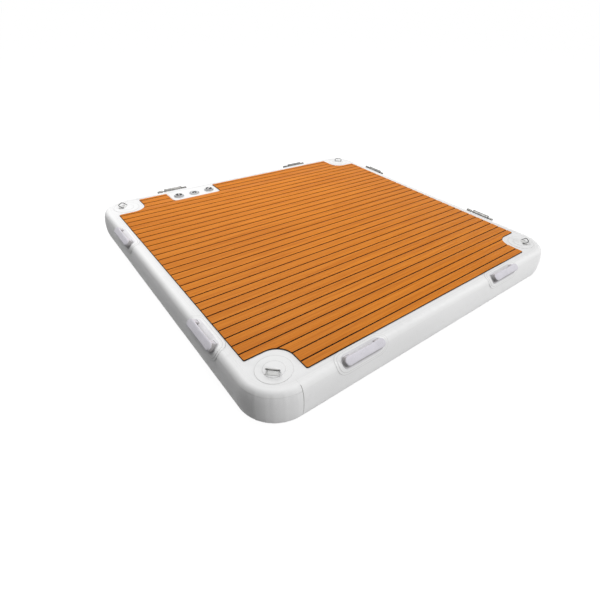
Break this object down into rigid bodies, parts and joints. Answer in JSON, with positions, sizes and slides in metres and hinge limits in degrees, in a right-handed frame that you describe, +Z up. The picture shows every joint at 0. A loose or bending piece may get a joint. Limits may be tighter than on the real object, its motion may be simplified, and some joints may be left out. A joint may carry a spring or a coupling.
{
  "type": "inflatable swim platform",
  "caption": "Square inflatable swim platform with a boarded foam deck, recessed valves under twist caps, corner D-rings, padded carry handles and steel pin couplings for joining platforms.",
  "frame": {"origin": "middle of the flat underside", "axes": "+Z up, +X along the deck boards towards the edge with two couplings and no valves, +Y towards the edge with the valves"},
  "size_m": [2.0844, 2.0844, 0.2025],
  "materials": {
    "white_pvc": "satin PVC-coated fabric",
    "white_tape": "satin PVC tape and patches",
    "yarn": "polyester yarn and woven base cloth",
    "dark_foam": "matt dark EVA foam",
    "teak_foam": "brushed teak-look EVA foam",
    "valve_grey": "moulded nylon",
    "cap_grey": "moulded nylon",
    "black_rubber": "matt rubber",
    "steel": "polished stainless steel",
    "spring_steel": "drawn spring wire",
    "grip_grey": "padded grey grip",
    "webbing": "woven webbing under PVC"
  },
  "bodies": {
    "float": {"bottom_skin": "white_pvc", "coupling_barrel_back_left": "steel", "coupling_barrel_back_right": "steel", "coupling_barrel_right_far": "steel", "coupling_barrel_right_near": "steel", "coupling_pad_back_left": "white_tape", "coupling_pad_back_right": "white_tape", "coupling_pad_right_far": "white_tape", "coupling_pad_right_near": "white_tape", "d_ring_patch_far": "white_tape", "d_ring_patch_left": "white_tape", "d_ring_patch_near": "white_tape", "d_ring_patch_right": "white_tape", "d_ring_tab_far": "webbing", "d_ring_tab_left": "webbing", "d_ring_tab_near": "webbing", "d_ring_tab_right": "webbing", "deck_base": "dark_foam", "deck_boards": "teak_foam", "handle_grip_front_far": "grip_grey", "handle_grip_front_near": "grip_grey", "handle_grip_left_far": "grip_grey", "handle_grip_left_near": "grip_grey", "handle_patch_front_far": "white_tape", "handle_patch_front_near": "white_tape", "handle_patch_left_far": "white_tape", "handle_patch_left_near": "white_tape", "left_valve_clamp_nut": "valve_grey", "left_valve_collar": "valve_grey", "left_valve_gasket": "black_rubber", "left_valve_spring": "spring_steel", "lower_seam_tape": "white_tape", "relief_valve_clamp_nut": "valve_grey", "relief_valve_collar": "valve_grey", "relief_valve_gasket": "black_rubber", "relief_valve_spring": "spring_steel", "right_valve_clamp_nut": "valve_grey", "right_valve_collar": "valve_grey", "right_valve_gasket": "black_rubber", "right_valve_spring": "spring_steel", "side_wall": "white_pvc", "top_skin": "white_pvc", "upper_seam_tape": "white_tape", "valve_panel": "white_pvc", "yarn_rows": "yarn"},
    "ring_far": {"d_ring_far": "steel"},
    "ring_left": {"d_ring_left": "steel"},
    "ring_near": {"d_ring_near": "steel"},
    "ring_right": {"d_ring_right": "steel"},
    "pin_back_left": {"coupling_pin_back_left": "steel"},
    "pin_back_right": {"coupling_pin_back_right": "steel"},
    "pin_right_far": {"coupling_pin_right_far": "steel"},
    "pin_right_near": {"coupling_pin_right_near": "steel"},
    "left_plunger": {"left_valve_plunger": "cap_grey"},
    "left_tether": {"left_valve_tether": "valve_grey"},
    "left_cap": {"left_valve_cap": "cap_grey"},
    "right_plunger": {"right_valve_plunger": "cap_grey"},
    "right_tether": {"right_valve_tether": "valve_grey"},
    "right_cap": {"right_valve_cap": "cap_grey"},
    "relief_poppet": {"relief_valve_poppet": "cap_grey"}
  },
  "joints": [
    {"name": "ring_swing_far", "type": "hinge", "parent": "float", "child": "ring_far", "pos_m": [0.88601, 0.88601, 0.1769], "axis": [-0.7071, 0.7071, 0], "range_deg": [-160, 10]},
    {"name": "ring_swing_left", "type": "hinge", "parent": "float", "child": "ring_left", "pos_m": [-0.88601, 0.88601, 0.1769], "axis": [-0.7071, -0.7071, 0], "range_deg": [-156, 14]},
    {"name": "ring_swing_near", "type": "hinge", "parent": "float", "child": "ring_near", "pos_m": [-0.88601, -0.88601, 0.1769], "axis": [0.7071, -0.7071, 0], "range_deg": [-137, 33]},
    {"name": "ring_swing_right", "type": "hinge", "parent": "float", "child": "ring_right", "pos_m": [0.88601, -0.88601, 0.1769], "axis": [0.7071, 0.7071, 0], "range_deg": [-156, 14]},
    {"name": "pin_pull_back_left", "type": "slide", "parent": "float", "child": "pin_back_left", "axis": [-1, 0, 0], "range_m": [0, 0.16]},
    {"name": "pin_pull_back_right", "type": "slide", "parent": "float", "child": "pin_back_right", "axis": [-1, 0, 0], "range_m": [0, 0.16]},
    {"name": "pin_pull_right_far", "type": "slide", "parent": "float", "child": "pin_right_far", "axis": [0, 1, 0], "range_m": [0, 0.16]},
    {"name": "pin_pull_right_near", "type": "slide", "parent": "float", "child": "pin_right_near", "axis": [0, 1, 0], "range_m": [0, 0.16]},
    {"name": "left_valve_press", "type": "slide", "parent": "float", "child": "left_plunger", "axis": [0, 0, -1], "range_m": [0, 0.0045], "stiffness_N_per_m": 600, "springref_m": -0.002, "deforming": ["left_valve_spring"]},
    {"name": "left_cap_lift", "type": "hinge", "parent": "float", "child": "left_tether", "pos_m": [-0.537, 0.9055, 0.1807], "axis": [-1, 0, 0], "range_deg": [0, 140]},
    {"name": "left_cap_twist", "type": "hinge", "parent": "left_tether", "child": "left_cap", "pos_m": [-0.537, 0.876, 0.1729], "axis": [0, 0, 1], "range_deg": [0, 90]},
    {"name": "right_valve_press", "type": "slide", "parent": "float", "child": "right_plunger", "axis": [0, 0, -1], "range_m": [0, 0.0045], "stiffness_N_per_m": 600, "springref_m": -0.002, "deforming": ["right_valve_spring"]},
    {"name": "right_cap_lift", "type": "hinge", "parent": "float", "child": "right_tether", "pos_m": [-0.319, 0.9055, 0.1807], "axis": [-1, 0, 0], "range_deg": [0, 140]},
    {"name": "right_cap_twist", "type": "hinge", "parent": "right_tether", "child": "right_cap", "pos_m": [-0.319, 0.876, 0.1729], "axis": [0, 0, 1], "range_deg": [0, 90]},
    {"name": "relief_lift", "type": "slide", "parent": "float", "child": "relief_poppet", "axis": [0, 0, 1], "range_m": [0, 0.003], "stiffness_N_per_m": 600, "springref_m": -0.003, "deforming": ["relief_valve_spring"]}
  ]
}
